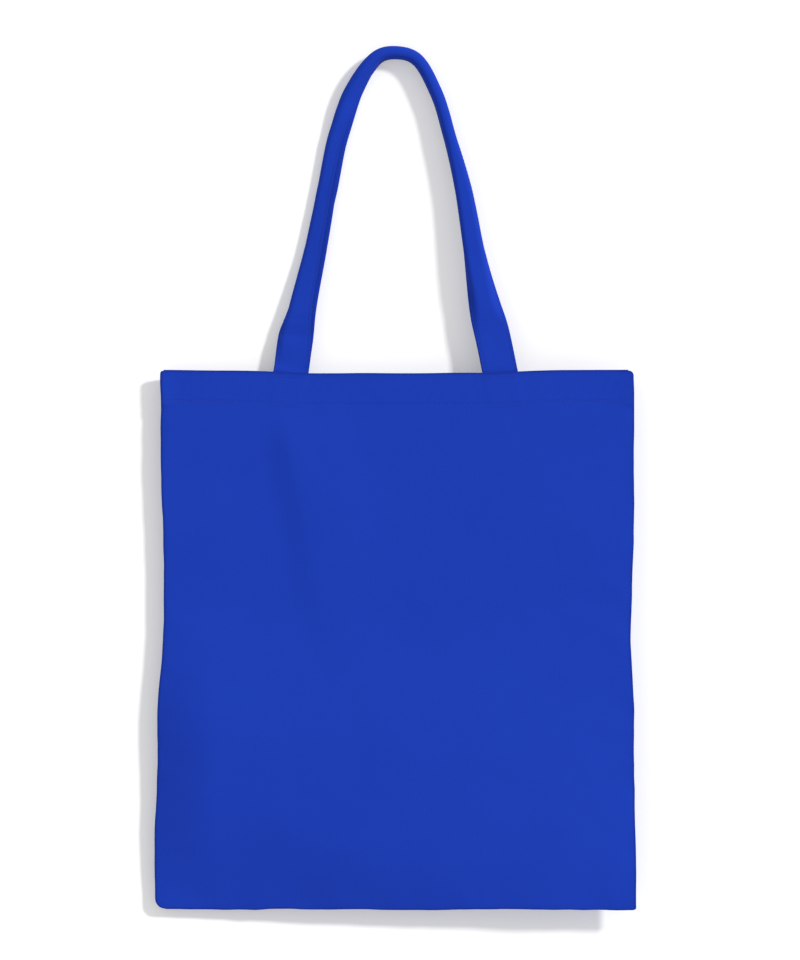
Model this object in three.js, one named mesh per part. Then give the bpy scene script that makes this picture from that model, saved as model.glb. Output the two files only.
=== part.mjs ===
// Cotton shopping bag lying flat on its back panel: two cut panels sewn together along the sides and
// the bottom, a hem turned in round the mouth, and a folded cloth handle sewn inside each hem.
// Millimetres. +X runs across the bag, +Y from the bottom seam to the mouth, +Z up from the surface it
// lies on. The origin is the middle of the back panel's underside.
import * as THREE from "three";
import { LoftGeometry } from "three/addons/geometries/LoftGeometry.js";

const { clamp, degToRad, lerp, smoothstep } = THREE.MathUtils;

// Cloth and sewing
const clothThickness = 0.5;
const hemDepth = 25;
const hemThickness = 1.4;
const hemStep = 0.6;
const sewingGap = 0.3;

// Bag outline, seen from above
const bagWidth = 350;
const bagHeight = 400;
const cornerRadius = 7;
const mouthSag = 2.2;
const backMouthSetback = 1.5;

// How far each side seam bows out, by its share of the way from the bottom seam to the mouth
const bowPlaces = [0, 0.14, 0.22, 0.4, 0.48, 0.65, 0.84, 1];
const leftBow = new THREE.CubicInterpolant(bowPlaces, [4.2, 5, 3.2, 2, -1, -1.8, 0.3, 0.2], 1);
const rightBow = new THREE.CubicInterpolant(bowPlaces, [2.3, 2, 0.8, 0.1, -1.4, 0.1, 0.7, 0.1], 1);

// Fullness of the lying bag
const leftSeamHeight = 12.5;
const rightSeamHeight = 24;
const cornerDrop = 4;
const cornerReach = 150;
const bellyRise = 10;
const mouthRise = 2;
const bellyStart = 170;
const bellyEase = 120;
const leftRoll = 45;
const rightRoll = 200;
const bottomRoll = 68;
const scallopDepth = 17;
const scallopPitch = 210;
const scallopPeak = 84;
const backRoll = 46;
const hemEase = 15;

// Slack crease that runs down the front from the left end of the front handle
const creaseRise = 1.6;
const creaseTop = new THREE.Vector2(-90, 178);
const creaseFoot = new THREE.Vector2(-50, -22);
const creaseFlank = 24;
const creaseFade = 80;

// Handles
const strapWidth = 26;
const strapThickness = 1.3;
const strapSewnLength = 24;
const strapFlatStart = 4;
const sewnSplay = 0.2;
const foldBend = 3.5;
const endBend = 0.75;
const handleSpacing = 156;
const handleShift = -1.2;
const handleDrop = 239;
const stackGap = 0.95;
const floorGap = 0.3;
const leftJoin = 24;
const rightJoin = 90;
const leftSlump = 6;
const rightSlump = 1.6;
const strapRim = 0.5;
const crestFlat = 0.25;
const handleSteps = 80;

// Middle line of the handle loop: share of half the spacing, share of the drop, lean of the strap and half
// the angle it is folded lengthwise, both in degrees, and how far from the strap's middle it bends, as a
// share of half its width. On the left leg the outer edge is folded under, and on the right leg both edges
// hang down.
const loopShape = [
  [-0.96, 0.11, 45, 40, 0.8], [-0.94, 0.2, 85, 75, 0.45], [-0.83, 0.4, 97, 88, 0.15],
  [-0.72, 0.58, 97, 88, 0], [-0.61, 0.75, 88, 88, 0], [-0.44, 0.89, 50, 88, 0],
  [-0.17, 0.99, 15, 88, 0], [0.02, 1, 8, 88, 0], [0.2, 0.98, 5, 88, 0],
  [0.4, 0.87, 5, 88, 0], [0.53, 0.73, 5, 88, 0], [0.65, 0.57, 2, 88, 0.15],
  [0.75, 0.38, 0, 85, 0.25], [0.86, 0.2, 0, 35, 0.3], [0.93, 0.11, 0, 5, 0.7],
];

const blue = new THREE.Color().setRGB(0.014, 0.047, 0.43, THREE.LinearSRGBColorSpace);
const cotton = new THREE.MeshStandardMaterial({ color: blue, roughness: 0.9, metalness: 0 });

const bottomY = -bagHeight / 2;
const hemExtra = hemThickness - clothThickness;

// Rises from 0 at the seam to 1 at full height, steepest at the seam.
const swell = (share) => Math.sin((Math.PI / 2) * clamp(share, 0, 1));

const mouthY = (x) => bagHeight / 2 - mouthSag * (1 - smoothstep(Math.abs(x), bagWidth / 6, bagWidth / 2.7));

// The right side lies higher than the left, and the bottom left corner is the lowest.
function seamLift(x, y) {
  const left = -bagWidth / 2;
  const level = lerp(leftSeamHeight, rightSeamHeight, smoothstep(x, left, -left));
  const fromLeft = smoothstep(x, left, left + cornerReach);
  const fromBottom = smoothstep(y, bottomY, bottomY + cornerReach);
  return level - cornerDrop * (1 - fromLeft) * (1 - fromBottom);
}

const leftSeam = (y) => {
  const height = clamp(y - bottomY, 0, cornerRadius);
  const inset = cornerRadius - Math.sqrt(cornerRadius ** 2 - (cornerRadius - height) ** 2);
  return inset - bagWidth / 2 - leftBow.evaluate((y - bottomY) / bagHeight)[0];
};

const rightSeam = (y) => bagWidth / 2 + rightBow.evaluate((y - bottomY) / bagHeight)[0];

// Share of full height that the nearby seams leave to a panel.
const fullness = (x, y, left, right, bottom) =>
  swell((x - leftSeam(y)) / left) * swell((rightSeam(y) - x) / right) * swell((y - bottomY) / bottom);

// A hem thickens its panel towards the inside, and beside the side seams towards the outside instead.
const hemInward = (x, y) =>
  hemExtra * swell((x - leftSeam(y)) / hemEase) * swell((rightSeam(y) - x) / hemEase);

// Steep on its left, easing away to its right and at both ends.
function creaseAt(x, y) {
  const line = creaseFoot.clone().sub(creaseTop);
  const offset = new THREE.Vector2(x, y).sub(creaseTop);
  const along = offset.dot(line) / line.length();
  const across = line.cross(offset) / line.length();
  const start = smoothstep(along, 0, creaseFade / 2);
  const end = 1 - smoothstep(along, line.length() - creaseFade, line.length());
  const flank = smoothstep(across, -creaseFlank / 2, creaseFlank / 2);
  return creaseRise * start * end * flank * (1 - smoothstep(across, creaseFlank / 2, creaseFade));
}

// Height of a panel's inner face, at the given depth of hem folded in there.
function frontInner(x, y, folded) {
  const roll = bottomRoll + scallopDepth * Math.cos((2 * Math.PI * (x - scallopPeak)) / scallopPitch);
  const below = smoothstep(mouthY(x) - y, bellyStart, bellyStart + bellyEase);
  const belly = lerp(mouthRise, bellyRise, below) + creaseAt(x, y);
  const raised = seamLift(x, y) + sewingGap / 2 + belly * fullness(x, y, leftRoll, rightRoll, roll);
  return raised - folded * hemInward(x, y);
}

function backInner(x, y, folded) {
  const raised = seamLift(x, y) - sewingGap / 2 - clothThickness;
  const flat = fullness(x, y, backRoll, backRoll, backRoll);
  return clothThickness + raised * (1 - flat) + folded * hemInward(x, y);
}

// A panel is lofted from the bottom seam to the mouth. Each row is a share of the way up to the hem, or a
// height within the hem.
function panel(name, columns, bodyRows, setback, section) {
  const edge = (x) => mouthY(x) - setback;
  const rows = bodyRows.map((share) => ({
    folded: 0,
    at: (x) => lerp(bottomY, edge(x) - hemDepth - hemStep, share),
  }));
  for (const height of [0, hemDepth / 2, hemDepth]) {
    rows.push({ folded: 1, at: (x) => edge(x) - hemDepth + height });
  }
  const rings = rows.map(({ folded, at }) => {
    const upper = [];
    const lower = [];
    for (const share of columns) {
      const straightX = (share - 0.5) * bagWidth;
      const y = at(straightX);
      const x = lerp(leftSeam(y), rightSeam(y), share);
      const [bottom, top] = section(x, y, folded);
      upper.push(new THREE.Vector3(x, y, top));
      lower.push(new THREE.Vector3(x, y, bottom));
    }
    return [...upper, ...lower.reverse()];
  });
  return piece(name, rings);
}

function frontPanel() {
  const columns = steps(21, (share) => (share + (1 - Math.cos(Math.PI * share)) / 2) / 2);
  const rows = steps(22, (share) => 1 - Math.cos((Math.PI / 2) * share));
  return panel("front_panel", columns, rows, 0, (x, y, folded) => {
    const inner = frontInner(x, y, folded);
    return [inner, inner + clothThickness + folded * hemExtra];
  });
}

function backPanel() {
  const rolled = steps(6, (share) => (share * backRoll * 1.2) / bagWidth);
  const columns = [...rolled, ...rolled.map((share) => 1 - share).reverse()];
  const rows = steps(14, (share) => 1 - Math.cos((Math.PI / 2) * share));
  return panel("back_panel", columns, rows, backMouthSetback, (x, y, folded) => {
    const inner = backInner(x, y, folded);
    return [inner - clothThickness - folded * hemExtra, inner];
  });
}

// Both handles keep to one route in plan. Its ends are sewn, slightly splayed, inside the mouth.
function handleRoute() {
  const half = handleSpacing / 2;
  const shift = new THREE.Vector3(handleShift, bagHeight / 2 - mouthSag / 2, 0);
  const depths = [strapSewnLength, strapSewnLength / 2, -strapFlatStart];
  const sewn = depths.map((depth) => new THREE.Vector3(half + sewnSplay * depth, -depth, 0));
  const left = sewn.map(({ x, y }) => new THREE.Vector3(-x, y, 0));
  const loop = loopShape.map(([across, up]) => new THREE.Vector3(across * half, up * handleDrop, 0));
  return new THREE.CatmullRomCurve3([...left, ...loop, ...sewn.reverse()].map((point) => point.add(shift)));
}

// Lean, fold and place of the bends along the same route. The sewn ends are flat.
function handlePose() {
  const flat = Array.from({ length: 3 }, () => new THREE.Vector3(0, 0, endBend));
  const loop = loopShape.map(
    ([, , lean, fold, bend]) => new THREE.Vector3(degToRad(lean), degToRad(fold), bend),
  );
  return new THREE.CatmullRomCurve3([...flat, ...loop, ...flat]);
}

// Height of the strap's middle where it is sewn to a panel's inner face.
function seatHeight(inner, side, x) {
  const faces = [-0.7, -0.5, 0, 0.5, 0.7].flatMap((share) => {
    const at = x + share * strapWidth;
    return [0, 0.5, 1].map((depth) => inner(at, mouthY(at) - depth * hemDepth, 1));
  });
  const nearest = side > 0 ? Math.min(...faces) : Math.max(...faces);
  return nearest - side * (sewingGap + strapThickness / 2);
}

// Place of a point in the section of a folded strap, across and up: flat from one bend to the other, and
// straight beyond them. The strap's own middle lies outside or inside the line round which both are folded.
function foldedPoint(width, depth, { fold, from, to }, outside) {
  const radius = foldBend / fold;
  const start = clamp(width, from, to);
  const past = Math.abs(width - start);
  const bent = Math.min(past, foldBend);
  const angle = bent / radius;
  const leg = past - bent;
  const distance = radius + outside + depth;
  const reach = distance * Math.sin(angle) + leg * Math.cos(angle);
  return new THREE.Vector2(
    start + Math.sign(width - start) * reach,
    distance * Math.cos(angle) - radius - leg * Math.sin(angle),
  );
}

// Outline of that section, with its points gathered at the bends and rounded at both edges.
function strapOutline(pose, outside) {
  const { fold, from, to } = pose;
  const b = strapThickness / 2;
  const edge = strapWidth / 2 - outside * fold;
  const bends = [from - foldBend, from - foldBend / 2, from, to, to + foldBend / 2, to + foldBend];
  const widths = bends.map((at, k) => clamp(at, strapRim * (k + 2) - edge, edge - strapRim * (7 - k)));
  const face = [-edge, strapRim - edge, ...widths, edge - strapRim, edge];
  const top = face.map((at) => [at, Math.abs(at) < edge ? b : b / 2]);
  const under = top.map(([at, depth]) => [at, -depth]).reverse();
  const middle = foldedPoint(0, 0, pose, 0);
  return [...top, ...under].map(([at, depth]) => foldedPoint(at, depth, pose, outside).sub(middle));
}

// The front handle slumps from its seat in the mouth to the ground at the far end of the loop. The back
// one rises from its lower seat to lie folded inside the front one.
function handle(name, isFront) {
  const route = handleRoute();
  const pose = handlePose();
  const b = strapThickness / 2;
  const up = new THREE.Vector3(0, 0, 1);
  const rings = steps(handleSteps).map((share) => {
    const { x, y } = route.getPoint(share);
    const { x: tilt, y: turn, z: bend } = pose.getPoint(share);
    const lean = Math.max(tilt, 0);
    const isLeft = x < handleShift;
    const fold = Math.max(turn, 0.001);
    const crest = (Math.max(bend, 0) * strapWidth) / 2;
    const from = -crest - crestFlat;
    const to = (isLeft ? -crest : crest) + crestFlat;
    const heading = route.getTangent(share);
    const inward = new THREE.Vector3(heading.y, -heading.x, 0);
    const across = inward.clone().multiplyScalar(Math.cos(lean)).addScaledVector(up, Math.sin(lean));
    const normal = up.clone().multiplyScalar(Math.cos(lean)).addScaledVector(inward, -Math.sin(lean));

    const joined = smoothstep(y - bagHeight / 2, 0, isLeft ? leftJoin : rightJoin);
    const stack = joined * (strapThickness + stackGap);
    const section = (outside) =>
      strapOutline({ fold, from, to }, outside).map((point) =>
        new THREE.Vector3().addScaledVector(across, point.x).addScaledVector(normal, point.y),
      );
    const front = section(stack / 2);
    const back = section(-stack / 2);
    const lowest = Math.min(...front.map(({ z }) => z), ...back.map(({ z }) => z));

    const base = isLeft ? handleShift - handleSpacing / 2 : handleShift + handleSpacing / 2;
    const frontSeat = seatHeight(frontInner, 1, base);
    const backSeat = seatHeight(backInner, -1, base);
    const gone = clamp((y - bagHeight / 2 + mouthSag / 2) / handleDrop, 0, 1);
    const slump = 1 - (1 - gone) ** (isLeft ? leftSlump : rightSlump);
    const frontLevel = lerp(frontSeat - b, floorGap, slump);
    const backLevel = lerp(backSeat - b, frontLevel, joined);
    const middle = new THREE.Vector3(x, y, (isFront ? frontLevel : backLevel) - lowest);
    return (isFront ? front : back).map((point) => point.add(middle));
  });
  return piece(name, rings);
}

// Even steps from 0 to 1, spaced by an optional rule.
function steps(count, rule = (share) => share) {
  return Array.from({ length: count + 1 }, (_, index) => rule(index / count));
}

function piece(name, rings) {
  const mesh = new THREE.Mesh(new LoftGeometry(rings, { capStart: true, capEnd: true }), cotton);
  mesh.name = name;
  return mesh;
}

const bag = new THREE.Group();
bag.name = "cotton_shopping_bag";
bag.add(frontPanel(), backPanel(), handle("front_handle", true), handle("back_handle", false));

export default bag;
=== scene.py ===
"""Cotton shopping bag lying on a pale floor: two sewn cloth panels, two folded handles and their stitching.

Shapes are worked out in millimetres, in the frame of the solids: +X across the bag, +Y from the bottom seam
to the mouth, +Z up from the floor. Meshes are stored in metres.
"""

import math

import bpy
import numpy as np
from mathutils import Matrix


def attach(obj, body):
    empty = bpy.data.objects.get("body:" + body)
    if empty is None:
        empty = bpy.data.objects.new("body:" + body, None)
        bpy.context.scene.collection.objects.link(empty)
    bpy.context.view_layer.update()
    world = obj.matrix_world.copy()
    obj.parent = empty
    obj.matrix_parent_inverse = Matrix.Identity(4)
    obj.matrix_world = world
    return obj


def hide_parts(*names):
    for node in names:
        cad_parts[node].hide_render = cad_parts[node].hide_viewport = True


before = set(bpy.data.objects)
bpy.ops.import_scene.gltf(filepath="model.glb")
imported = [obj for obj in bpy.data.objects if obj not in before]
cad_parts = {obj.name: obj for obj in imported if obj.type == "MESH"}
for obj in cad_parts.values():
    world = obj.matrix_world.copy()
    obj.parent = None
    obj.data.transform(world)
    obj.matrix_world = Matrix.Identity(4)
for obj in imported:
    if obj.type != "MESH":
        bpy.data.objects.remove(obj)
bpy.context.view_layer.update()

MM = 0.001
FRONT, BACK = 1, -1

# Cloth and sewing
CLOTH = 0.45
CLOTH_SOLID = 0.5
HEM_DEPTH = 25.0
HEM_TURNING = 8.0
HEM_SOLID = 1.4
HEM_LAYER = 0.55
HEM_INSET = 1.5
HEM_STITCH = 22.0
END_STITCH = 3.0
SEAM_HALF = 1.0
SEAM_LIP = 0.3
SEAM_BULGE = 0.4
SEAM_ALLOWANCE = 9.0
LEAST_ALLOWANCE = 0.4
ALLOWANCE_SLANT = 0.9
SEWING_GAP = 0.3
FLOOR_CLEARANCE = 0.05

# Stitches, and the dips that they draw in the cloth
STITCH_PITCH = 3.0
STITCH_LENGTH = 2.5
STITCH_THICKNESS = 0.2
STITCH_FLATNESS = 0.75
STITCH_SIDES = 6
DIP_REACH = 0.9
FRONT_DIP = 0.12
BACK_DIP = 0.3
STRAP_DIP = 0.3
STRAP_GATHER = 0.2

# Places along one stitch, with the height of its middle and its girth there as shares of its thickness
STITCH_SPOTS = np.array((-0.5, -0.4, -0.2, 0.2, 0.4, 0.5))
STITCH_LIFTS = np.array((-0.5, 0.2, 0.55, 0.55, 0.2, -0.5))
STITCH_GIRTHS = np.array((0.55, 0.9, 1, 1, 0.9, 0.55))

# Bag outline, seen from above
BAG_WIDTH = 350.0
BAG_HEIGHT = 400.0
BOTTOM = -BAG_HEIGHT / 2
LEFT_CORNER_RADIUS = 7.0
RIGHT_CORNER_RADIUS = 1.5
LEFT_MOUTH_RADIUS = 2.0
RIGHT_MOUTH_RADIUS = 3.5
MOUTH_SAG = 2.2
SAG_START = BAG_WIDTH / 6
SAG_END = BAG_WIDTH / 2.7
BACK_SETBACK = 1.5
BOW_PLACES = (0, 0.14, 0.22, 0.4, 0.48, 0.65, 0.84, 1)
LEFT_BOW = (4.2, 5, 3.2, 2, -1, -1.8, 0.3, 0.2)
RIGHT_BOW = (2.3, 2, 0.8, 0.1, -1.4, 0.1, 0.7, 0.1)

# Fullness of the lying bag
LEFT_SEAM_HEIGHT = 12.5
RIGHT_SEAM_HEIGHT = 24.0
CORNER_DROP = 4.0
CORNER_REACH = 150.0
BELLY_RISE = 10.0
MOUTH_RISE = 2.0
BELLY_START = 170.0
BELLY_EASE = 120.0
LEFT_ROLL = 45.0
RIGHT_ROLL = 200.0
BOTTOM_ROLL = 68.0
SCALLOP_DEPTH = 17.0
SCALLOP_PITCH = 210.0
SCALLOP_PEAK = 84.0
BACK_ROLL = 46.0

# Slack crease below the left end of the front handle
CREASE_RISE = 2.08
CREASE_TOP = np.array((-98.0, 178.0))
CREASE_FOOT = np.array((-56.0, -22.0))
CREASE_FLANK = 24.0
CREASE_FADE = 80.0
RUMPLE_STRETCH = 4.0

# Hem: the step beside the side seams, the ropy twist, and the patch over each handle end
HEM_EASE = 15.0
HEM_STEP_START = 3.0
HEM_STEP_LENGTH = 4.0
TWIST_RISE = 0.1
TWIST_SLANT = 0.55
TWIST_PITCH = 8.5
TWIST_REACH = 7.0
TWIST_FADE = 2.0
PATCH_RISE = 0.3
PATCH_EASE = 3.0
PATCH_MARGIN = 2.0
END_ROW_FADE = 2.0

# Unevenness of the cloth in layers of soft bumps: height, pitch and seed of each
LEFT_WANDER = ((0.4, 24, 51), (0.2, 10, 52))
RIGHT_WANDER = ((0.4, 24, 53), (0.2, 10, 54))
BOTTOM_WANDER = ((0.5, 28, 55), (0.25, 11, 56))
MOUTH_WANDER = {FRONT: ((0.4, 34, 58),), BACK: ((0.4, 34, 56),)}
SEAM_WAVES = ((0.7, 46, 1), (0.3, 17, 2))
SLACK = ((0.5, 95, 3), (0.2, 31, 4), (0.06, 11, 5))
RUMPLES = ((0.35, 17, 6),)
TWIST_DRIFT = ((2, 40, 31),)
STRAP_UNEVEN = ((0.1, 9, 41),)
LEAN_WANDER = ((math.radians(3), 52, 42),)
FOLD_WANDER = ((math.radians(4), 38, 43),)
BOTTOM_FADE = 14.0
MOUTH_FADE = 22.0
MOUTH_SLACK = 0.3
SLACK_REACH = 60.0

# Puckers along the seams: height, reach from the seam, pitch along it, stretch away from it and first seed
PUCKERS = ((0.35, 6, 13, 0, 0), (0.6, 20, 38, 0.3, 3))
FRONT_PUCKERS = 10
BACK_PUCKERS = 20

# Rows and columns of the panels, closer together at the seams, the stitches and the mouth
FACE_COLUMNS = 165
FACE_ROWS = 150
COLUMN_EASE = 0.25
ROW_EASE = 0.3
SEAM_ROWS = np.array((0.06, 0.18, 0.36, 0.6))
BODY_END = HEM_DEPTH + 4
HEM_ROWS = np.array((
    27.5, 26.3, 25.3, 24.5, 23.7, 23.1, 22.5, 22, 21.5, 20.9, 20.2, 19, 17.5,
    16, 14, 12, 10, 8, 6.2, 4.6, 3.2, 2, 1, 0.4, 0,
))
INNER_ROWS = np.array((1.5, 4, 7, 10, 13, 16, 19, 21, 22, 23, 24.2, HEM_DEPTH))
TUCK_ROWS = np.array((2, 5, HEM_TURNING))
FOLD_STEPS = 5
MOUTH_STEPS = 8
FLAP_STEPS = 5

# Handles
STRAP_WIDTH = 26.0
STRAP_THICKNESS = 1.3
STRAP_SEWN = 24.0
STRAP_FLAT_START = 4.0
STRAP_STITCH = 2.6
SEWN_SPLAY = 0.2
FOLD_BEND = 3.5
LEAST_FOLD = 0.001
MOST_FOLD = 1.56
HANDLE_SPACING = 156.0
HANDLE_SHIFT = -1.2
HANDLE_DROP = 239.0
HANDLE_FOOT = BAG_HEIGHT / 2 - MOUTH_SAG / 2
STACK_GAP = 0.95
FLOOR_GAP = 0.3
SEAT_GAP = 0.6
LEFT_JOIN = 24.0
RIGHT_JOIN = 90.0
LEFT_SLUMP = 6.0
RIGHT_SLUMP = 1.6
END_BEND = 0.75
CREST_FLAT = 0.25
FREE_REACH = 40.0
STRAP_RINGS = 600

# Share of half the spacing, share of the drop, lean and half the angle of the lengthwise fold in degrees, and
# how far from the strap's middle it bends, as a share of half its width
LOOP_SHAPE = (
    (-0.96, 0.11, 45, 40, 0.8), (-0.94, 0.2, 85, 75, 0.45), (-0.83, 0.4, 97, 88, 0.15),
    (-0.72, 0.58, 97, 88, 0), (-0.61, 0.75, 88, 88, 0), (-0.44, 0.89, 50, 88, 0),
    (-0.17, 0.99, 15, 88, 0), (0.02, 1, 8, 88, 0), (0.2, 0.98, 5, 88, 0),
    (0.4, 0.87, 5, 88, 0), (0.53, 0.73, 5, 88, 0), (0.65, 0.57, 2, 88, 0.15),
    (0.75, 0.38, 0, 85, 0.25), (0.86, 0.2, 0, 35, 0.3), (0.93, 0.11, 0, 5, 0.7),
)

# Colours, the weave, and the shade painted darker along the edges of panels and straps
WEAVE_PITCH = 0.46 * MM
DARK_BLUE = (0.0045, 0.028, 0.33, 1)
LIGHT_BLUE = (0.009, 0.045, 0.455, 1)
# Painted shade: the darker blue that the cloth's colour is mixed towards along its edges, with its reach and
# strength
PAINTED_SHADE_BLUE = (0.002475, 0.0154, 0.1815, 1)
SHEEN_BLUE = (0.35, 0.45, 0.9, 1)
DARK_THREAD = (0.005, 0.031, 0.34, 1)
LIGHT_THREAD = (0.014, 0.057, 0.475, 1)
PAINTED_SHADE_REACH = 0.7
PAINTED_SHADE_STRENGTH = 0.5

# Floor, light and camera
FLOOR_WHITE = (0.82, 0.82, 0.82, 1)
FLOOR_GLOW = 0.28
AMBIENT = 0.55
SUN_SHARE = 0.47
SUN_ELEVATION = math.radians(38)
SUN_BEARING = math.radians(33)
SUN_ANGLE = math.radians(7)
LENS = 400
SENSOR = 36
PIXEL = 0.7435 * MM
PICTURE_HEIGHT = 960 * PIXEL
VIEW_RIGHT = 3 * PIXEL
VIEW_BELOW_MOUTH = 109 * PIXEL
VIEW_LEVEL = 20 * MM


# Curves and noise


def smooth(share):
    share = np.clip(share, 0, 1)
    return share * share * (3 - 2 * share)


def swell(share):
    """Rises from 0 at a seam to 1 at full height, steepest at the seam."""
    return np.sin(math.pi / 2 * np.clip(share, 0, 1))


def lerp(a, b, share):
    return a + (b - a) * share


def hermite(start, end, start_slope, end_slope, t):
    near = start * (1 + 2 * t) * (1 - t) ** 2 + start_slope * t * (1 - t) ** 2
    return near + end * t * t * (3 - 2 * t) + end_slope * t * t * (t - 1)


def spline(places, values, at):
    """Smooth curve through the values at the given places."""
    p, v = np.array(places, float), np.array(values, float)
    slope = np.gradient(v, p)
    i = np.clip(np.searchsorted(p, at, side="right") - 1, 0, len(p) - 2)
    step = p[i + 1] - p[i]
    t = np.clip((at - p[i]) / step, 0, 1)
    return hermite(v[i], v[i + 1], slope[i] * step, slope[i + 1] * step, t)


def noise(x, y, pitch, seed):
    """Smooth bumps from -1 to 1, about one pitch across, on a lattice turned by its seed."""
    cells, shift = 101, 5000
    lattice = np.random.default_rng(seed).uniform(-1, 1, (cells, cells))
    turn = 0.7 + 1.3 * seed
    gx = (x * math.cos(turn) - y * math.sin(turn)) / pitch + shift
    gy = (x * math.sin(turn) + y * math.cos(turn)) / pitch + shift
    ix, iy = np.floor(gx).astype(int), np.floor(gy).astype(int)
    fx, fy = smooth(gx - ix), smooth(gy - iy)
    left, right = ix % cells, (ix + 1) % cells
    low, high = iy % cells, (iy + 1) % cells
    near = lerp(lattice[left, low], lattice[right, low], fx)
    far = lerp(lattice[left, high], lattice[right, high], fx)
    return lerp(near, far, fy)


def bumps(x, y, layers):
    """Sum of layers of noise, each with its height, pitch and seed."""
    return sum(height * noise(x, y, pitch, seed) for height, pitch, seed in layers)


def near_edge(distance, reach):
    """0 at an edge, 1 at one reach from it, and fading out beyond."""
    share = np.maximum(distance, 0) / reach
    return share * np.exp(1 - share)


def beside_row(distance):
    """1 on a row of stitches, fading out on both sides of it."""
    return np.exp(-((distance / DIP_REACH) ** 2))


def length_along(path):
    """Length of a path up to each of its points."""
    return np.concatenate([[0], np.cumsum(np.linalg.norm(np.diff(path, axis=0), axis=1))])


# Shape of the panels


def mouth_y(x):
    return BAG_HEIGHT / 2 - MOUTH_SAG * (1 - smooth((np.abs(x) - SAG_START) / (SAG_END - SAG_START)))


def corner_inset(distance, radius):
    """How far a rounded corner draws a side in, at a distance from the corner's other side."""
    reach = radius - np.clip(distance, 0, radius)
    return radius - np.sqrt(radius**2 - reach**2)


def side_inset(y, low_radius, high_radius):
    """How far the rounded corners at its two ends draw a side seam in."""
    return corner_inset(y - BOTTOM, low_radius) + corner_inset(BAG_HEIGHT / 2 - y, high_radius)


def left_seam(y):
    inset = side_inset(y, LEFT_CORNER_RADIUS, LEFT_MOUTH_RADIUS)
    bow = spline(BOW_PLACES, LEFT_BOW, (y - BOTTOM) / BAG_HEIGHT)
    return inset - BAG_WIDTH / 2 - bow + bumps(0, y, LEFT_WANDER)


def right_seam(y):
    inset = side_inset(y, RIGHT_CORNER_RADIUS, RIGHT_MOUTH_RADIUS)
    bow = spline(BOW_PLACES, RIGHT_BOW, (y - BOTTOM) / BAG_HEIGHT)
    return BAG_WIDTH / 2 + bow - inset + bumps(0, y, RIGHT_WANDER)


def seam_level(x, y):
    """Height of the seam between the panels: the right side lies higher, the bottom left corner lowest."""
    left = -BAG_WIDTH / 2
    corner = (1 - smooth((x - left) / CORNER_REACH)) * (1 - smooth((y - BOTTOM) / CORNER_REACH))
    return lerp(LEFT_SEAM_HEIGHT, RIGHT_SEAM_HEIGHT, smooth(x / BAG_WIDTH + 0.5)) - CORNER_DROP * corner


def seam_lift(x, y):
    """The same, with the slight waves of a sewn edge."""
    return seam_level(x, y) + bumps(x, y, SEAM_WAVES)


def fullness(x, y, left, right, bottom):
    """Share of full height that the nearby seams leave to a panel."""
    sides = swell((x - left_seam(y)) / left) * swell((right_seam(y) - x) / right)
    return sides * swell((y - BOTTOM) / bottom)


def crease(x, y):
    """Steep on its left, easing away to its right and at both ends."""
    line = CREASE_FOOT - CREASE_TOP
    length = np.linalg.norm(line)
    along = ((x - CREASE_TOP[0]) * line[0] + (y - CREASE_TOP[1]) * line[1]) / length
    across = (line[0] * (y - CREASE_TOP[1]) - line[1] * (x - CREASE_TOP[0])) / length
    ends = smooth(along / (CREASE_FADE / 2)) * (1 - smooth((along - length + CREASE_FADE) / CREASE_FADE))
    flank = smooth(across / CREASE_FLANK + 0.5)
    ease = 1 - smooth((across - CREASE_FLANK / 2) / (CREASE_FADE - CREASE_FLANK / 2))
    beside = near_edge(across + CREASE_FLANK, CREASE_FLANK)
    rumples = bumps(along / RUMPLE_STRETCH, across, RUMPLES) * beside
    return (CREASE_RISE * flank * ease + rumples) * ends


def puckers(x, y, seed):
    """Small gathers that run in from the seams, where the thread draws the cloth up."""
    left, right, bottom = x - left_seam(y), right_seam(y) - x, y - BOTTOM
    total = 0
    for rise, reach, pitch, stretch, first in PUCKERS:
        drawn = near_edge(left, reach) * noise(left * stretch, y, pitch, seed + first)
        drawn = drawn + near_edge(right, reach) * noise(right * stretch, y, pitch, seed + first + 1)
        drawn = drawn + near_edge(bottom, reach) * noise(x, bottom * stretch, pitch, seed + first + 2)
        total = total + rise * drawn
    return total


def over_handle_ends(x, y, fade):
    """1 over the handle ends sewn inside the hem, fading to 0 beside them."""
    splay = HANDLE_SPACING / 2 + SEWN_SPLAY * (mouth_y(x) - y)
    ends = [np.abs(x - HANDLE_SHIFT - way * splay) for way in (-1, 1)]
    return 1 - smooth((np.minimum(*ends) - STRAP_WIDTH / 2) / fade + 0.5)


def hem_dip(x, y, setback):
    """Share of the full dip that the hem's stitches draw in the cloth."""
    below = mouth_y(x) - setback - y
    end_row = beside_row(below - END_STITCH) * over_handle_ends(x, y, END_ROW_FADE)
    return beside_row(below - HEM_STITCH) + end_row


def hem_twist(x, y, setback):
    """The ropy twist that a turned hem takes between its stitches and the edge."""
    below = mouth_y(x) - setback - y
    turn = (x + TWIST_SLANT * below) * 2 * math.pi / TWIST_PITCH + bumps(x, 0, TWIST_DRIFT)
    return TWIST_RISE * np.sin(turn) * near_edge(HEM_STITCH - below, TWIST_REACH) * smooth(below / TWIST_FADE)


def sewn_patch(x, y):
    """The cloth stands slightly proud over the handle ends sewn behind it."""
    foot = smooth((y - mouth_y(x) + STRAP_SEWN + PATCH_MARGIN) / PATCH_EASE)
    return PATCH_RISE * over_handle_ends(x, y, PATCH_EASE) * foot


def hem_step(x, y, setback):
    """Beside the side seams a hem thickens its panel outwards."""
    beside = 1 - swell((x - left_seam(y)) / HEM_EASE) * swell((right_seam(y) - x) / HEM_EASE)
    above = y - mouth_y(x) + setback + HEM_DEPTH + HEM_STEP_START
    return 2 * HEM_LAYER * beside * smooth(above / HEM_STEP_LENGTH)


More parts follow.
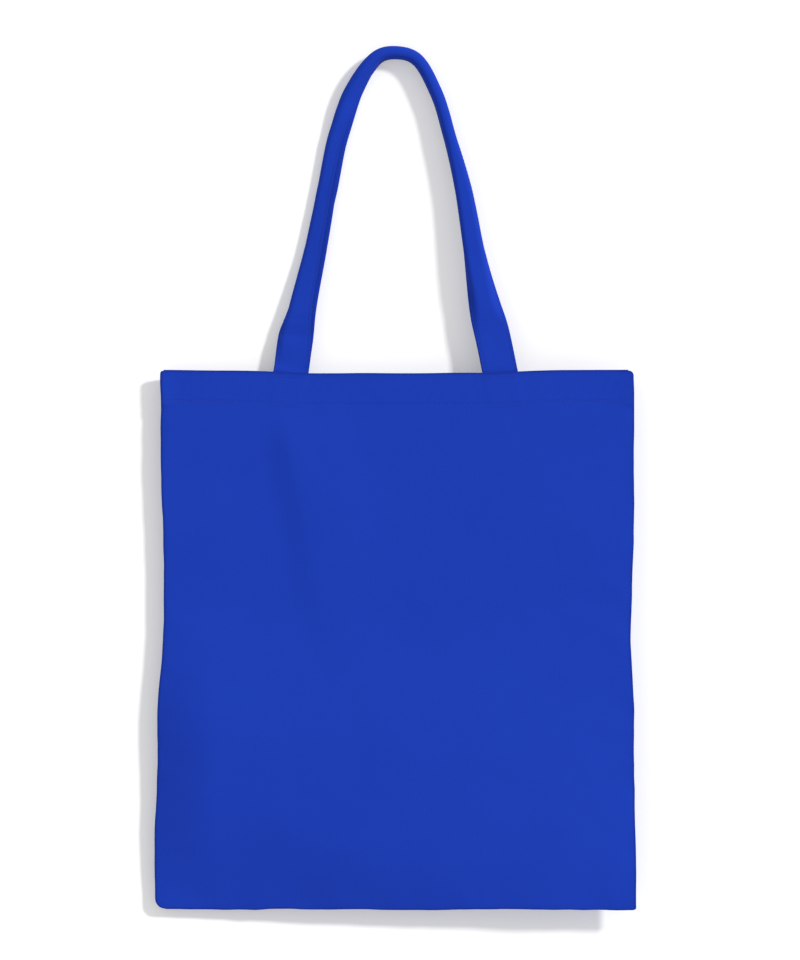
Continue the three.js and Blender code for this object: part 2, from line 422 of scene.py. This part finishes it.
def belly(x, y):
    below = smooth((mouth_y(x) - y - BELLY_START) / BELLY_EASE)
    return lerp(MOUTH_RISE, BELLY_RISE, below) + crease(x, y)


def bottom_roll(x):
    return BOTTOM_ROLL + SCALLOP_DEPTH * np.cos(2 * math.pi * (x - SCALLOP_PEAK) / SCALLOP_PITCH)


def front_height(x, y):
    """Middle of the front cloth's outer layer."""
    full = fullness(x, y, LEFT_ROLL, RIGHT_ROLL, bottom_roll(x))
    seam = lerp(seam_lift(x, y) + SEAM_HALF, seam_level(x, y) + SEAM_HALF / 2, full)
    slack = bumps(x, y, SLACK) * lerp(MOUTH_SLACK, 1, smooth((mouth_y(x) - y) / SLACK_REACH))
    sewn = hem_step(x, y, 0) + hem_twist(x, y, 0) + sewn_patch(x, y) - FRONT_DIP * hem_dip(x, y, 0)
    return seam + (belly(x, y) + slack) * full + puckers(x, y, FRONT_PUCKERS) + sewn


def back_height(x, y):
    """Middle of the back cloth's outer layer, flat on the floor within its rolled edges."""
    full = fullness(x, y, BACK_ROLL, BACK_ROLL, BACK_ROLL)
    raised = (seam_lift(x, y) - SEAM_HALF - CLOTH / 2) * (1 - full)
    sewn = hem_step(x, y, BACK_SETBACK) + hem_twist(x, y, BACK_SETBACK)
    rolled = np.maximum(raised + (puckers(x, y, BACK_PUCKERS) - sewn) * (1 - full**3), 0)
    return CLOTH / 2 + FLOOR_CLEARANCE + rolled + BACK_DIP * hem_dip(x, y, BACK_SETBACK)


def edge_waves(points, side, setback):
    """Slight unevenness in plan along the bottom seam and the mouth."""
    x, y = points[:, 0], points[:, 1]
    low = bumps(x, 0, BOTTOM_WANDER) * np.exp(-np.maximum(y - BOTTOM, 0) / BOTTOM_FADE)
    high = bumps(x, 0, MOUTH_WANDER[side]) * np.exp(-np.maximum(mouth_y(x) - setback - y, 0) / MOUTH_FADE)
    points[:, 1] += low + high


# Meshes


def grid_faces(index):
    """Quads over a grid of vertex numbers."""
    corners = [index[:-1, :-1], index[:-1, 1:], index[1:, 1:], index[1:, :-1]]
    return np.stack(corners, axis=-1).reshape(-1, 4)


def number_grid(shape, first=0):
    """Vertex numbers of a grid of points."""
    return first + np.arange(shape[0] * shape[1]).reshape(shape[:2])


def add_object(name, points, faces, uv, material, edge=None):
    """A mesh of points in millimetres, with its cloth coordinates and how near each point is to an edge,
    which sets the shade painted along edges.
    """
    mesh = bpy.data.meshes.new(name)
    mesh.from_pydata((np.asarray(points) * MM).tolist(), [], [list(map(int, face)) for face in faces])
    corners = np.zeros(len(mesh.loops), np.int32)
    mesh.loops.foreach_get("vertex_index", corners)
    layer = mesh.uv_layers.new(name="cloth")
    layer.uv.foreach_set("vector", (np.asarray(uv) * MM)[corners].astype(np.float32).ravel())
    if edge is not None:
        painted_shade = mesh.attributes.new("edge", "FLOAT", "POINT")
        painted_shade.data.foreach_set("value", np.asarray(edge, np.float32))
    mesh.shade_smooth()
    mesh.materials.append(material)
    obj = bpy.data.objects.new(name, mesh)
    bpy.context.collection.objects.link(obj)
    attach(obj, "root")
    return obj


def half_turn(edge, axis, out, down, count):
    """Rows of cloth folded by a half turn along an edge, out along an axis and then up or down."""
    angle = np.linspace(0, math.pi, count + 1)[1:, None]
    rows = np.repeat(edge[None], count, axis=0)
    rows[..., axis] += np.sin(angle) * out
    rows[..., 2] += (1 - np.cos(angle)) * down
    return rows


def beyond_seam(edge, axis, way, room, side, widest):
    """Cloth beyond a seam: round the fold, then back inside as a seam allowance that slants at its ends."""
    radius = (side * (edge[:, 2] - seam_lift(edge[:, 0], edge[:, 1])) - SEAM_LIP) / 2
    fold = half_turn(edge, axis, way * np.minimum(radius, widest), -side * radius, FOLD_STEPS)
    depth = np.clip(ALLOWANCE_SLANT * room, LEAST_ALLOWANCE, SEAM_ALLOWANCE)
    flap = np.repeat(edge[None], FLAP_STEPS, axis=0)
    flap[..., axis] -= way * depth * np.linspace(0, 1, FLAP_STEPS + 1)[1:, None]
    flap[..., 2] = seam_lift(flap[..., 0], flap[..., 1]) + side * SEAM_LIP
    return np.concatenate([fold, flap])


def panel_face(share, edge, height):
    """Rows of points over a panel's face, from the bottom seam to the mouth."""
    rise = np.linspace(0, 1, FACE_ROWS)
    rise = lerp(rise, rise**2, ROW_EASE)
    rise = np.concatenate([rise[:1], rise[1] * SEAM_ROWS, rise[1:]])
    body = BOTTOM + rise[:, None] * (edge - BODY_END - BOTTOM)
    y = np.concatenate([body, edge - HEM_ROWS[:, None]])
    x = lerp(left_seam(y), right_seam(y), share)
    return np.stack([x, y, height(x, y)], axis=-1)


def inside_hem(y, share, height, drop):
    """Rows of points below a panel's outer layer, a little in from the side seams."""
    x = lerp(left_seam(y) + HEM_INSET, right_seam(y) - HEM_INSET, share)
    return np.stack([x, y, height(x, y) - drop], axis=-1)


def panel_hem(mouth, share, edge, height, side):
    """Cloth beyond the mouth: over the edge, down inside as the hem, and its raw edge turned under."""
    layer = side * HEM_LAYER
    over = half_turn(mouth, 1, HEM_LAYER, -layer, MOUTH_STEPS)
    inner = inside_hem(edge - INNER_ROWS[:, None], share, height, 2 * layer)
    under = half_turn(inner[-1], 1, -HEM_LAYER / 2, layer / 2, FOLD_STEPS)
    tuck = inside_hem(edge - HEM_DEPTH + TUCK_ROWS[:, None], share, height, layer)
    return np.concatenate([over, inner, under, tuck])


def panel(name, node, side, height, setback, material):
    """One cut of cloth: its face, its hem folded in at the mouth and its seam allowances."""
    share = np.linspace(0, 1, FACE_COLUMNS)
    share = lerp(share, (1 - np.cos(math.pi * share)) / 2, COLUMN_EASE)
    edge = mouth_y((share - 0.5) * BAG_WIDTH) - setback
    face = panel_face(share, edge, height)
    hem = panel_hem(face[-1], share, edge, height, side)
    hem_uv = np.stack([hem[..., 0], BAG_HEIGHT - hem[..., 1] + 2], axis=-1)
    x = face[0, :, 0]
    bottom = beyond_seam(face[0], 1, -1, np.minimum(x - x[0], x[-1] - x), side, math.inf)[::-1]
    bottom_uv = np.stack([bottom[..., 0], 2 * BOTTOM - bottom[..., 1] - 1], axis=-1)
    strips, strip_uvs = [], []
    for column, way in ((0, -1), (-1, 1)):
        x, y = face[:, column, 0], face[:, column, 1]
        room = np.minimum(y - BOTTOM, edge[column] - HEM_DEPTH - 2 - y)
        strip = beyond_seam(face[:, column], 0, way, room, side, SEAM_BULGE).swapaxes(0, 1)
        strips.append(strip)
        strip_uvs.append(np.stack([2 * x[:, None] - strip[..., 0] + way, strip[..., 1]], axis=-1))

    main = np.concatenate([bottom, face, hem])
    numbers = number_grid(main.shape)
    left_numbers = number_grid(strips[0].shape, numbers.size)
    right_numbers = left_numbers + left_numbers.size
    rows = slice(len(bottom), len(bottom) + len(face))
    faces = np.concatenate([
        grid_faces(numbers),
        grid_faces(np.concatenate([left_numbers[:, ::-1], numbers[rows, :1]], axis=1)),
        grid_faces(np.concatenate([numbers[rows, -1:], right_numbers], axis=1)),
    ])
    points = np.concatenate([grid.reshape(-1, 3) for grid in (main, *strips)])
    uv = np.concatenate([grid.reshape(-1, 2) for grid in (bottom_uv, face[..., :2], hem_uv, *strip_uvs)])
    x, y = points[:, 0], points[:, 1]
    # How near each point is to the panel's edges, where shade is painted into the colour
    rim = np.minimum.reduce([x - left_seam(y), right_seam(y) - x, y - BOTTOM, mouth_y(x) - setback - y])
    painted_shade = np.exp(-np.maximum(rim, 0) / PAINTED_SHADE_REACH)
    edge_waves(points, side, setback)

    obj = add_object(name, points, faces, uv, material, painted_shade)
    shell = obj.modifiers.new("cloth thickness", "SOLIDIFY")
    shell.thickness = CLOTH * MM
    shell.offset = 0
    shell.use_quality_normals = True
    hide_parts(node)
    return obj


# Shape of the handles


def catmull_rom(points, shares):
    """Centripetal spline through the points, as evenly stepped shares of its stretches."""
    p = np.array(points, float)
    p = np.concatenate([[2 * p[0] - p[1]], p, [2 * p[-1] - p[-2]]])
    at = shares * (len(p) - 3)
    i = np.clip(at.astype(int), 0, len(p) - 4)
    p0, p1, p2, p3 = (p[i + k] for k in range(4))
    d0, d1, d2 = (np.sqrt(np.linalg.norm(p[i + k + 1] - p[i + k], axis=1))[:, None] for k in range(3))
    same_place = 1e-4
    d1 = np.where(d1 < same_place, 1, d1)
    d0 = np.where(d0 < same_place, d1, d0)
    d2 = np.where(d2 < same_place, d1, d2)
    m1 = d1 * ((p1 - p0) / d0 - (p2 - p0) / (d0 + d1) + (p2 - p1) / d1)
    m2 = d1 * ((p2 - p1) / d1 - (p3 - p1) / (d1 + d2) + (p3 - p2) / d2)
    return hermite(p1, p2, m1, m2, (at - i)[:, None])


def handle_route(shares):
    """Plan route of both handles, their lean and fold in radians, and how far from the middle they bend."""
    half = HANDLE_SPACING / 2
    depths = (STRAP_SEWN, STRAP_SEWN / 2, -STRAP_FLAT_START)
    sewn = [(half + SEWN_SPLAY * depth, -depth) for depth in depths]
    loop = [(across * half, up * HANDLE_DROP) for across, up, *_ in LOOP_SHAPE]
    plan = [(-x, y) for x, y in sewn] + loop + sewn[::-1]
    flat = [(0, 0, END_BEND)] * len(sewn)
    turns = [(math.radians(lean), math.radians(fold), bend) for _, _, lean, fold, bend in LOOP_SHAPE]
    route = catmull_rom(plan, shares) + (HANDLE_SHIFT, HANDLE_FOOT)
    lean, fold, bend = catmull_rom(flat + turns + flat, shares).T
    return route, np.maximum(lean, 0), np.maximum(fold, LEAST_FOLD), np.maximum(bend, 0) * STRAP_WIDTH / 2


def front_seat(x):
    """Height of the front strap's middle where it is sewn inside the front hem."""
    over = x + np.array((-0.7, -0.5, 0, 0.5, 0.7))[:, None] * STRAP_WIDTH
    y = mouth_y(over) - np.array((0, 0.5, 1)) * HEM_DEPTH
    full = fullness(over, y, LEFT_ROLL, RIGHT_ROLL, bottom_roll(over))
    inner = seam_level(over, y) + SEWING_GAP / 2 + belly(over, y) * full - HEM_SOLID + CLOTH_SOLID
    return inner.min() - SEAT_GAP - STRAP_THICKNESS / 2


def section(width, offset, fold, bends):
    """Across, up and slope in a section that is flat between its two bends and straight beyond them."""
    radius = FOLD_BEND / fold
    start = np.clip(width, *bends)
    past = np.abs(width - start)
    bent = np.minimum(past, FOLD_BEND)
    angle = bent / radius
    leg = past - bent
    distance = radius + offset
    way = np.sign(width - start)
    across = start + way * (distance * np.sin(angle) + leg * np.cos(angle))
    return across, distance * np.cos(angle) - radius - leg * np.sin(angle), way * angle


def folded(w, depth, fold, bends, outside):
    """Place of a strap's point in its section, across and up from the strap's middle, and the slope there."""
    width = w * (1 - outside * fold / (STRAP_WIDTH / 2))
    across, up, angle = section(width, outside + depth, fold, bends)
    middle_across, middle_up, _ = section(0, 0, fold, bends)
    return across - middle_across, up - middle_up, angle


def strap_profile():
    """Section of a strap folded in four: one folded edge, and one where two folded edges meet in a groove."""
    half, thick = STRAP_WIDTH / 2, STRAP_THICKNESS / 2
    inside = np.linspace(0.9 - half, half - 0.9, 51)
    grooved = [(0.8 - half, 0), (0.2 - half, 0.12), (-half, 0.32), (0.3 - half, 0.54)]
    rounded = [(half - 0.4, 0.57), (half - 0.1, 0.33), (half, 0)]
    top = grooved + [(w, thick) for w in inside] + rounded
    lower = [(w, -n) for w, n in reversed(top[1:-1])]
    return np.array(top + lower)


def strap_sections(shares):
    """Along the handles: route, fold and bends, with the directions across and out of each section."""
    route, lean, fold, crest = handle_route(shares)
    along = length_along(route)
    free = smooth((route[:, 1] - BAG_HEIGHT / 2) / FREE_REACH)
    lean = (lean + free * bumps(along, 0, LEAN_WANDER))[:, None]
    fold = np.clip(fold + free * bumps(along, 0, FOLD_WANDER), LEAST_FOLD, MOST_FOLD)[:, None]
    inner_crest = np.where(route[:, 0] < HANDLE_SHIFT, -crest, crest)
    bends = (-(crest + CREST_FLAT)[:, None], (inner_crest + CREST_FLAT)[:, None])
    ahead = np.gradient(route, axis=0)
    ahead /= np.linalg.norm(ahead, axis=1)[:, None]
    inward = np.stack([ahead[:, 1], -ahead[:, 0], np.zeros(len(ahead))], axis=1)
    up = np.array((0.0, 0.0, 1.0))
    across = inward * np.cos(lean) + up * np.sin(lean)
    normal = up * np.cos(lean) - inward * np.sin(lean)
    return route, along, fold, bends, across, normal


def strap_level(side, route, joined):
    """Lowest height: the front handle comes down to the floor, the back one rises to lie inside it."""
    x, y = route.T
    left = x < HANDLE_SHIFT
    seats = [front_seat(HANDLE_SHIFT + way * HANDLE_SPACING / 2) for way in (-1, 1)]
    gone = np.clip((y - HANDLE_FOOT) / HANDLE_DROP, 0, 1)
    slump = 1 - (1 - gone) ** np.where(left, LEFT_SLUMP, RIGHT_SLUMP)
    level = lerp(np.where(left, *seats) - STRAP_THICKNESS / 2, FLOOR_GAP, slump)
    return level if side == FRONT else lerp(HEM_SOLID + SEWING_GAP, level, joined)


def strap_surface(side, shares, w, n):
    """Points on a strap's faces, sunk along its stitches and softly uneven elsewhere, and their normals."""
    route, along, fold, bends, across, normal = strap_sections(shares)
    join = np.where(route[:, 0] < HANDLE_SHIFT, LEFT_JOIN, RIGHT_JOIN)
    joined = smooth((route[:, 1] - BAG_HEIGHT / 2) / join)
    outside = (joined * (STRAP_THICKNESS + STACK_GAP) / 2)[:, None]
    thick = STRAP_THICKNESS / 2

    spread = np.linspace(-0.5, 0.5, 27) * STRAP_WIDTH
    lowest = np.full(len(route), np.inf)
    for stack in (outside, -outside):
        for face in (-thick, thick):
            a, b, _ = folded(spread, face, fold, bends, stack)
            lowest = np.minimum(lowest, (a * across[:, 2:] + b * normal[:, 2:]).min(axis=1))
    middle = np.column_stack([route, strap_level(side, route, joined) - lowest])

    row = beside_row(STRAP_WIDTH / 2 - STRAP_STITCH - np.abs(w))
    gather = 1 - STRAP_GATHER + STRAP_GATHER * np.cos(2 * math.pi * along / STITCH_PITCH)
    uneven = bumps(along[:, None], w + 60 * side, STRAP_UNEVEN) * (1 - (w / STRAP_WIDTH * 2) ** 4)
    on_face = np.isclose(np.abs(n), thick)
    depth = n * (1 - STRAP_DIP * row * gather[:, None]) + np.sign(n) * uneven * on_face
    a, b, angle = folded(w, depth, fold, bends, side * outside)
    points = middle[:, None] + across[:, None] * a[..., None] + normal[:, None] * b[..., None]
    slope = across[:, None] * np.sin(angle)[..., None] + normal[:, None] * np.cos(angle)[..., None]
    return points, along, slope


def strap(name, node, side, material):
    """One handle, and its length in millimetres."""
    profile = strap_profile()
    w, n = (np.broadcast_to(column, (STRAP_RINGS, len(profile))) for column in profile.T)
    points, along, _ = strap_surface(side, np.linspace(0, 1, STRAP_RINGS), w, n)
    numbers = number_grid(points.shape)
    ring = np.concatenate([numbers, numbers[:, :1]], axis=1)
    faces = list(grid_faces(ring)) + [numbers[0][::-1], numbers[-1]]
    uv = np.stack([w + 40 * (n < 0), np.broadcast_to(along[:, None], w.shape)], axis=-1)
    # How near each point is to the strap's edges, where shade is painted into the colour
    painted_shade = np.exp(-(STRAP_WIDTH / 2 - np.abs(w)) / PAINTED_SHADE_REACH)
    obj = add_object(name, points.reshape(-1, 3), faces, uv.reshape(-1, 2), material, painted_shade.ravel())
    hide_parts(node)
    return obj, along[-1]


# Stitching


def stitches(path, normal):
    """Lengths of thread along a path on the cloth, each with its ends drawn down into it."""
    along = length_along(path)
    count = int(along[-1] // STITCH_PITCH)
    starts = (along[-1] - count * STITCH_PITCH) / 2 + STITCH_PITCH * (np.arange(count) + 0.5)
    at = starts[:, None] + STITCH_SPOTS * STITCH_LENGTH
    middle = np.stack([np.interp(at, along, path[:, k]) for k in range(3)], axis=-1)
    out = np.stack([np.interp(at, along, normal[:, k]) for k in range(3)], axis=-1)
    ahead = np.gradient(middle, axis=1)
    ahead /= np.linalg.norm(ahead, axis=-1, keepdims=True)
    beside = np.cross(out, ahead)
    beside /= np.linalg.norm(beside, axis=-1, keepdims=True)
    angle = (np.arange(STITCH_SIDES) * 2 * math.pi / STITCH_SIDES)[:, None]
    ring = beside[:, :, None] * np.cos(angle) + STITCH_FLATNESS * out[:, :, None] * np.sin(angle)
    centre = middle + out * (STITCH_LIFTS * STITCH_THICKNESS)[:, None]
    return centre[:, :, None] + ring * (STITCH_GIRTHS * STITCH_THICKNESS)[:, None, None]


def thread(name, runs, material):
    """One object of all the given runs of stitches."""
    rings = np.concatenate(runs)
    count, spots, sides = rings.shape[:3]
    numbers = np.arange(count * spots * sides).reshape(count, spots, sides)
    faces = []
    for stitch in numbers:
        faces.extend(grid_faces(np.concatenate([stitch, stitch[:, :1]], axis=1)))
        faces.append(stitch[0][::-1])
        faces.append(stitch[-1])
    along = np.broadcast_to(np.arange(spots)[:, None] * 0.1, numbers.shape)
    around = np.broadcast_to(np.arange(sides) * 0.5, numbers.shape)
    uv = np.stack([along, around], axis=-1)
    obj = add_object(name, rings.reshape(-1, 3), faces, uv.reshape(-1, 2), material)
    return obj


def on_panel(height, x, y, offset):
    """Points and outward normals on a panel, offset from the middle of its outer layer."""
    step = 0.4
    slope_x = (height(x + step, y) - height(x - step, y)) / (2 * step)
    slope_y = (height(x, y + step) - height(x, y - step)) / (2 * step)
    normal = np.stack([-slope_x, -slope_y, np.ones_like(x)], axis=-1)
    normal /= np.linalg.norm(normal, axis=-1, keepdims=True)
    return np.stack([x, y, height(x, y) + offset], axis=-1), normal * math.copysign(1, offset)


def panel_stitching(name, side, height, setback, material):
    """Hem row on both faces of the hem, and over each handle end a short row beside the mouth."""
    outer, inner = side * CLOTH / 2, -side * (2 * HEM_LAYER + CLOTH / 2)
    runs = []
    x = np.linspace(3 - BAG_WIDTH / 2, BAG_WIDTH / 2 - 3, 700)
    for offset in (outer, inner):
        runs.append(stitches(*on_panel(height, x, mouth_y(x) - setback - HEM_STITCH, offset)))
    for way in (-1, 1):
        middle = HANDLE_SHIFT + way * HANDLE_SPACING / 2
        x = np.linspace(middle - STRAP_WIDTH / 2 + 1, middle + STRAP_WIDTH / 2 - 1, 40)
        runs.append(stitches(*on_panel(height, x, mouth_y(x) - setback - END_STITCH, outer)))
    return thread(name, runs, material)


def strap_stitching(name, side, material):
    """A row along each edge of a strap, on both faces."""
    shares = np.linspace(0.005, 0.995, 900)
    row, thick = STRAP_WIDTH / 2 - STRAP_STITCH, STRAP_THICKNESS / 2
    runs = []
    for w, n in ((-row, thick), (row, thick), (-row, -thick), (row, -thick)):
        w, n = np.full((len(shares), 1), w), np.full((len(shares), 1), n)
        points, _, normal = strap_surface(side, shares, w, n)
        runs.append(stitches(points[:, 0], normal[:, 0] * np.sign(n)))
    return thread(name, runs, material)


# Materials


def add_node(tree, kind, settings=(), **inputs):
    """A shader node with its settings made and its inputs, by name or number, set or linked to sockets."""
    node = tree.nodes.new(kind)
    for key, value in dict(settings).items():
        setattr(node, key, value)
    for key, value in inputs.items():
        numbered = key[0] == "i" and key[1:].isdigit()
        socket = node.inputs[int(key[1:])] if numbered else node.inputs[key.replace("_", " ")]
        if isinstance(value, bpy.types.NodeSocket):
            tree.links.new(value, socket)
        else:
            socket.default_value = value
    return node


def calc(tree, operation, first, second=0.0, third=0.0):
    node = add_node(tree, "ShaderNodeMath", {"operation": operation}, i0=first, i1=second, i2=third)
    return node.outputs[0]


def mix(tree, share, first, second):
    return add_node(tree, "ShaderNodeMix", {"data_type": "RGBA"}, i0=share, i6=first, i7=second).outputs[2]


def new_material(name):
    """A material with an empty tree of nodes."""
    material = bpy.data.materials.new(name)
    material.use_nodes = True
    material.node_tree.nodes.clear()
    return material, material.node_tree


def cotton(name):
    """Plain-weave cotton: uneven crossing threads, faint blotches in the dye, and shade painted darker along
    edges.
    """
    material, tree = new_material(name)
    cloth = add_node(tree, "ShaderNodeUVMap", {"uv_map": "cloth"}).outputs[0]
    split = add_node(tree, "ShaderNodeSeparateXYZ", Vector=cloth).outputs
    warp = calc(tree, "SINE", calc(tree, "MULTIPLY", split[0], math.pi / WEAVE_PITCH))
    weft = calc(tree, "SINE", calc(tree, "MULTIPLY", split[1], math.pi / WEAVE_PITCH))
    weave = calc(tree, "MULTIPLY", warp, weft)
    slubs = []
    for scale in ((1.2 / WEAVE_PITCH, 60, 1), (60, 1.2 / WEAVE_PITCH, 1)):
        stretched = add_node(tree, "ShaderNodeMapping", Vector=cloth, Scale=scale).outputs[0]
        slubs.append(add_node(tree, "ShaderNodeTexNoise", Vector=stretched, Scale=1.0, Detail=2.0).outputs[0])
    slub = calc(tree, "ADD", *slubs)
    height = calc(tree, "MULTIPLY_ADD", weave, 0.5, slub)
    bump = add_node(tree, "ShaderNodeBump", Strength=0.5, Distance=0.35 * WEAVE_PITCH, Height=height)

    blotch = add_node(tree, "ShaderNodeTexNoise", Vector=cloth, Scale=16.0, Detail=4.0).outputs[0]
    tone = calc(tree, "MULTIPLY_ADD", slub, 0.4, calc(tree, "MULTIPLY_ADD", weave, 0.12, 0.4))
    dyed = mix(tree, calc(tree, "MULTIPLY_ADD", blotch, 0.3, tone), DARK_BLUE, LIGHT_BLUE)
    # Painted shade: near edges the dyed colour is mixed towards a darker blue
    edge = add_node(tree, "ShaderNodeAttribute", {"attribute_name": "edge"}).outputs["Fac"]
    colour = mix(tree, calc(tree, "MULTIPLY", edge, PAINTED_SHADE_STRENGTH), dyed, PAINTED_SHADE_BLUE)
    shader = add_node(
        tree, "ShaderNodeBsdfPrincipled", Base_Color=colour, Normal=bump.outputs[0],
        Roughness=calc(tree, "MULTIPLY_ADD", slub, 0.12, 0.76), Specular_IOR_Level=0.12,
        Sheen_Weight=0.06, Sheen_Roughness=0.45, Sheen_Tint=SHEEN_BLUE,
    )
    add_node(tree, "ShaderNodeOutputMaterial", Surface=shader.outputs[0])
    return material


def spun_thread(name):
    """Two-ply sewing thread: a fine slanting twist with a little more lustre than the cloth."""
    material, tree = new_material(name)
    cloth = add_node(tree, "ShaderNodeUVMap", {"uv_map": "cloth"}).outputs[0]
    split = add_node(tree, "ShaderNodeSeparateXYZ", Vector=cloth).outputs
    slant = calc(tree, "MULTIPLY_ADD", split[0], 8000.0, calc(tree, "MULTIPLY", split[1], 12000.0))
    twist = calc(tree, "MULTIPLY_ADD", calc(tree, "SINE", slant), 0.5, 0.5)
    bump = add_node(tree, "ShaderNodeBump", Strength=0.5, Distance=0.06 * MM, Height=twist)
    shader = add_node(
        tree, "ShaderNodeBsdfPrincipled", Base_Color=mix(tree, twist, DARK_THREAD, LIGHT_THREAD),
        Normal=bump.outputs[0], Roughness=0.6, Specular_IOR_Level=0.2, Sheen_Weight=0.05,
    )
    add_node(tree, "ShaderNodeOutputMaterial", Surface=shader.outputs[0])
    return material


def pale_floor():
    """White floor that keeps the bag's shadow and otherwise shows plain white."""
    material, tree = new_material("pale_floor")
    rays = add_node(tree, "ShaderNodeLightPath").outputs
    seen = calc(tree, "MAXIMUM", rays["Is Camera Ray"], rays["Is Glossy Ray"])
    seen = calc(tree, "MAXIMUM", seen, rays["Is Transmission Ray"])
    matt = add_node(tree, "ShaderNodeBsdfDiffuse", Color=FLOOR_WHITE)
    glow = add_node(tree, "ShaderNodeEmission", Strength=calc(tree, "MULTIPLY", seen, FLOOR_GLOW))
    both = add_node(tree, "ShaderNodeAddShader", i0=matt.outputs[0], i1=glow.outputs[0])
    add_node(tree, "ShaderNodeOutputMaterial", Surface=both.outputs[0])
    return material


# The bag

panel_cotton = cotton("blue_cotton")
strap_cotton = cotton("blue_cotton_strap")
blue_thread = spun_thread("blue_thread")

front_panel = panel("front_cloth", "front_panel", FRONT, front_height, 0, panel_cotton)
back_panel = panel("back_cloth", "back_panel", BACK, back_height, BACK_SETBACK, panel_cotton)
front_strap, strap_length = strap("front_strap", "front_handle", FRONT, strap_cotton)
back_strap, back_length = strap("back_strap", "back_handle", BACK, strap_cotton)
front_sewing = panel_stitching("front_stitching", FRONT, front_height, 0, blue_thread)
back_sewing = panel_stitching("back_stitching", BACK, back_height, BACK_SETBACK, blue_thread)
front_rows = strap_stitching("front_strap_stitching", FRONT, blue_thread)
back_rows = strap_stitching("back_strap_stitching", BACK, blue_thread)


# Floor, light and camera

bpy.ops.mesh.primitive_plane_add(size=12, location=(0, 0, 0))
floor = bpy.context.object
floor.name = "floor"
floor.data.materials.append(pale_floor())

world = bpy.data.worlds.new("studio")
bpy.context.scene.world = world
world.use_nodes = True
sky = world.node_tree
sky.nodes.clear()
sky_rays = add_node(sky, "ShaderNodeLightPath").outputs
brightness = calc(sky, "MULTIPLY_ADD", sky_rays["Is Camera Ray"], 1 - AMBIENT, AMBIENT)
sky_light = add_node(sky, "ShaderNodeBackground", Color=(1, 1, 1, 1), Strength=brightness)
add_node(sky, "ShaderNodeOutputWorld", Surface=sky_light.outputs[0])

sun = bpy.data.objects.new("key_light", bpy.data.lights.new("key_light", "SUN"))
sun.data.energy = SUN_SHARE * math.pi / math.sin(SUN_ELEVATION)
sun.data.angle = SUN_ANGLE
sun.rotation_euler = (math.pi / 2 - SUN_ELEVATION, 0, math.pi / 2 + SUN_BEARING)
bpy.context.collection.objects.link(sun)

# Camera straight above, a long way off, with the bag's face in scale with the picture
camera = bpy.data.objects.new("camera", bpy.data.cameras.new("camera"))
camera.data.lens = LENS
camera.data.sensor_width = SENSOR
distance = PICTURE_HEIGHT * LENS / SENSOR
camera.location = (VIEW_RIGHT, BAG_HEIGHT / 2 * MM - VIEW_BELOW_MOUTH, distance + VIEW_LEVEL)
camera.rotation_euler = (0, 0, 0)
bpy.context.collection.objects.link(camera)
bpy.context.scene.camera = camera
bpy.context.scene.view_settings.view_transform = "Standard"
